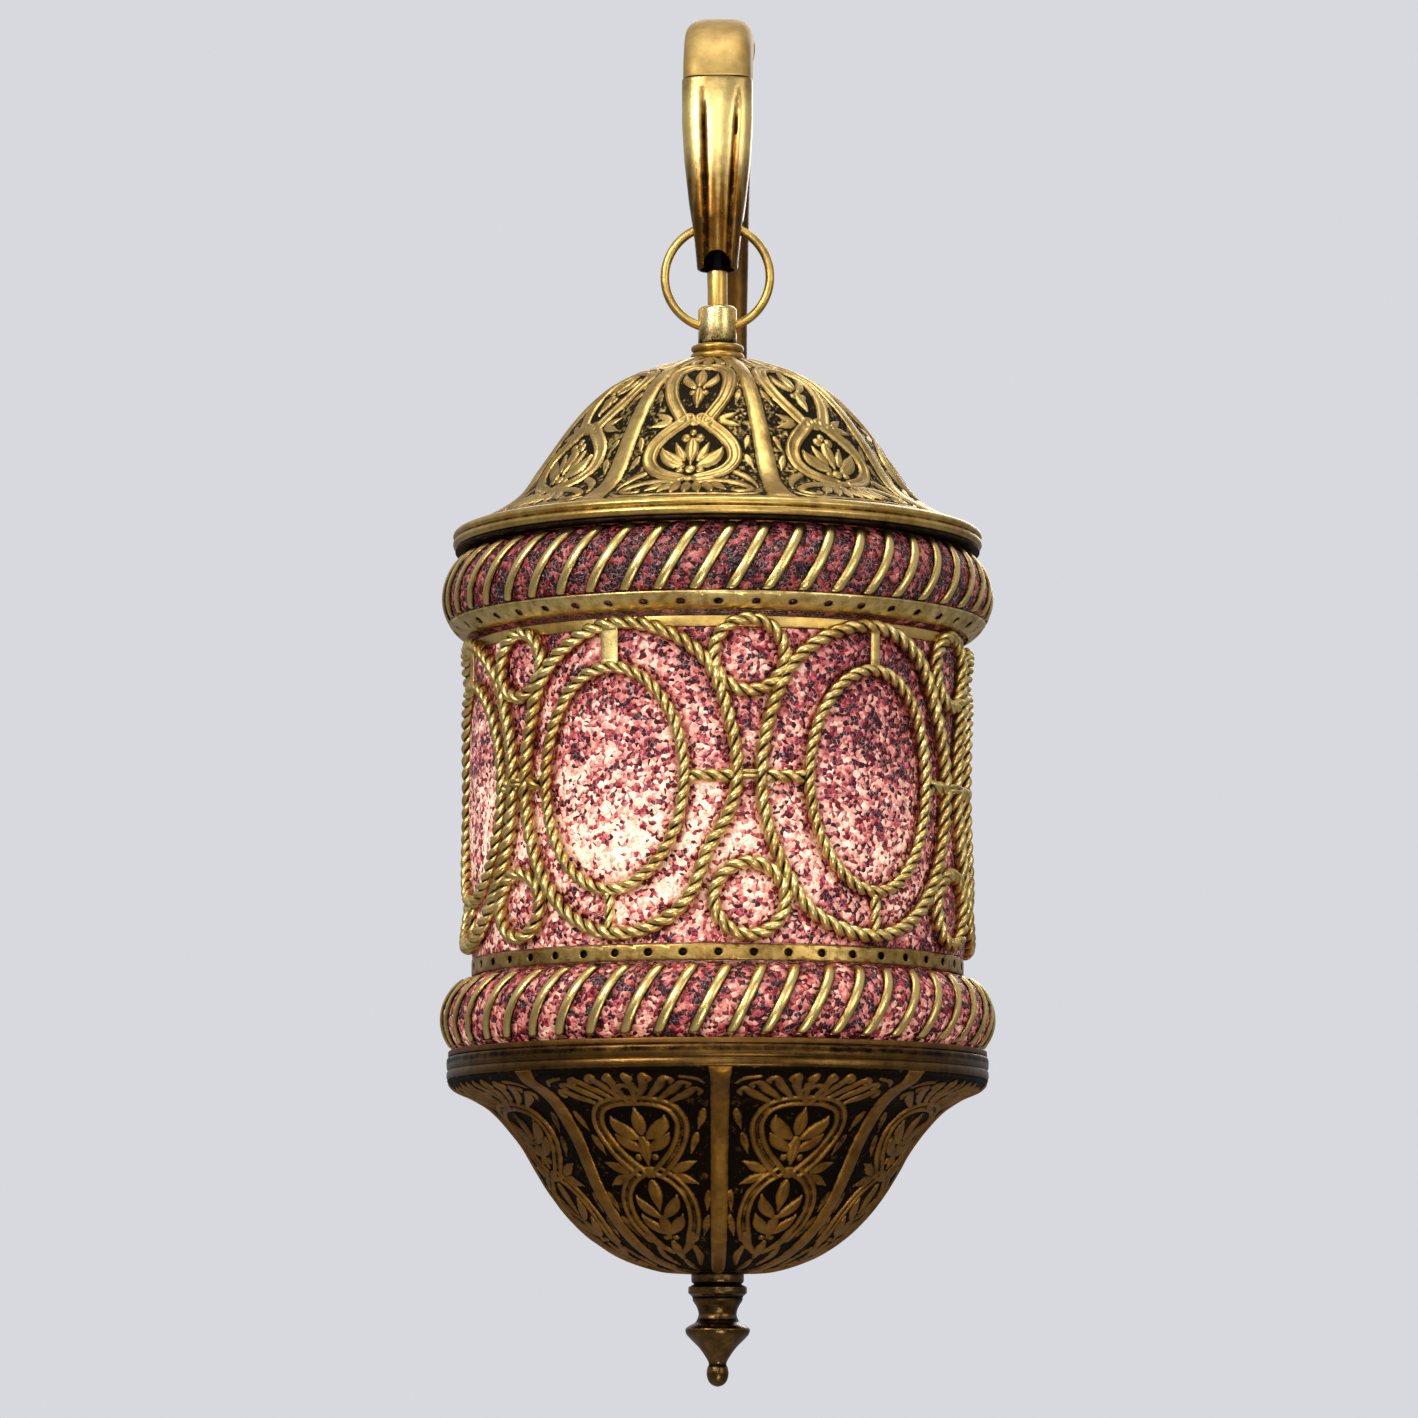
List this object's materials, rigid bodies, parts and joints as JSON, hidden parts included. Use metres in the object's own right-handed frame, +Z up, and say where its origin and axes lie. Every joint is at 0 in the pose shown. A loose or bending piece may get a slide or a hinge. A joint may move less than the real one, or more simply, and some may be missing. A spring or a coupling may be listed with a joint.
{
  "type": "hanging lantern",
  "caption": "Wall-hung lantern: a swan-neck arm and ring carry a domed cage of twisted wire over crackle glass, closed by a turned bowl and finial.",
  "frame": {"origin": "centre of the wall strap's back face, on the wall", "axes": "+Z up, +Y into the wall, -Y is the lantern's front"},
  "size_m": [0.221, 0.2755, 0.558],
  "materials": {
    "antique_brass": "antique brass, worn bright on high spots",
    "tan_brass": "dry matte tan brass",
    "aged_brass": "embossed brass with black patina in the recesses",
    "dark_bronze": "dark bronze with gold rubbed relief",
    "black_patina": "blackened",
    "zinc_steel": "zinc plated",
    "mauve_crackle_glass": "crackle glass, mauve to salmon, lit from inside",
    "rose_crackle_glass": "crackle glass, rose, lit from inside",
    "frosted_glass": "frosted, warm white",
    "black_plastic": "matte",
    "white_plastic": "glazed"
  },
  "bodies": {
    "bracket": {"wall_strap": "zinc_steel", "wall_plate": "antique_brass", "plate_screws": "antique_brass", "terminal_block": "white_plastic", "arm_foot": "antique_brass", "arm_foot_nut": "zinc_steel", "bracket_arm": "antique_brass", "arm_crown": "tan_brass", "arm_beak": "antique_brass", "supply_lead": "black_plastic"},
    "ring": {"hanging_ring": "antique_brass"},
    "lantern": {"stem_tube": "antique_brass", "ring_cap": "antique_brass", "neck_collar": "antique_brass", "centre_tube": "aged_brass", "dome_nut": "zinc_steel", "dome_washer": "zinc_steel", "dome": "aged_brass", "dome_rim": "antique_brass", "cage_top_ring": "black_patina", "spider_bar": "zinc_steel", "spider_nuts": "zinc_steel", "spider_screws": "zinc_steel", "lantern_lead": "black_plastic", "holder_cap": "black_plastic", "holder_block": "white_plastic", "holder_contacts": "aged_brass", "holder_shell": "black_plastic", "upper_glass_roll": "mauve_crackle_glass", "upper_roll_ribs": "antique_brass", "upper_pierced_band": "antique_brass", "upper_trim_band": "antique_brass", "glass_body": "rose_crackle_glass", "inner_ovals": "antique_brass", "outer_loops": "antique_brass", "top_circles": "antique_brass", "bottom_circles": "antique_brass", "cage_ties": "antique_brass", "lower_pierced_band": "antique_brass", "lower_glass_roll": "mauve_crackle_glass", "lower_roll_ribs": "antique_brass", "cage_bottom_ring": "dark_bronze", "bottom_bar": "zinc_steel", "centre_rod": "zinc_steel", "rod_nuts": "zinc_steel"},
    "bulb": {"bulb_cap": "zinc_steel", "bulb_glass": "frosted_glass"},
    "bowl": {"bowl": "dark_bronze", "bowl_rim": "dark_bronze"},
    "finial": {"finial": "dark_bronze"}
  },
  "joints": [
    {"name": "ring_swing", "type": "hinge", "parent": "bracket", "child": "ring", "pos_m": [0, -0.165, 0.1354], "axis": [1, 0, 0], "range_deg": [-4, 4]},
    {"name": "lantern_swing", "type": "hinge", "parent": "ring", "child": "lantern", "pos_m": [0, -0.165, 0.0949], "axis": [1, 0, 0], "range_deg": [-2, 2]},
    {"name": "bulb_turn", "type": "hinge", "parent": "lantern", "child": "bulb", "pos_m": [0, -0.165, -0.05], "axis": [0, 0, 1], "continuous": true},
    {"name": "bowl_lower", "type": "slide", "parent": "lantern", "child": "bowl", "axis": [0, 0, -1], "range_m": [0, 0.1]},
    {"name": "finial_turn", "type": "hinge", "parent": "bowl", "child": "finial", "pos_m": [0, -0.165, -0.305], "axis": [0, 0, 1], "continuous": true}
  ]
}
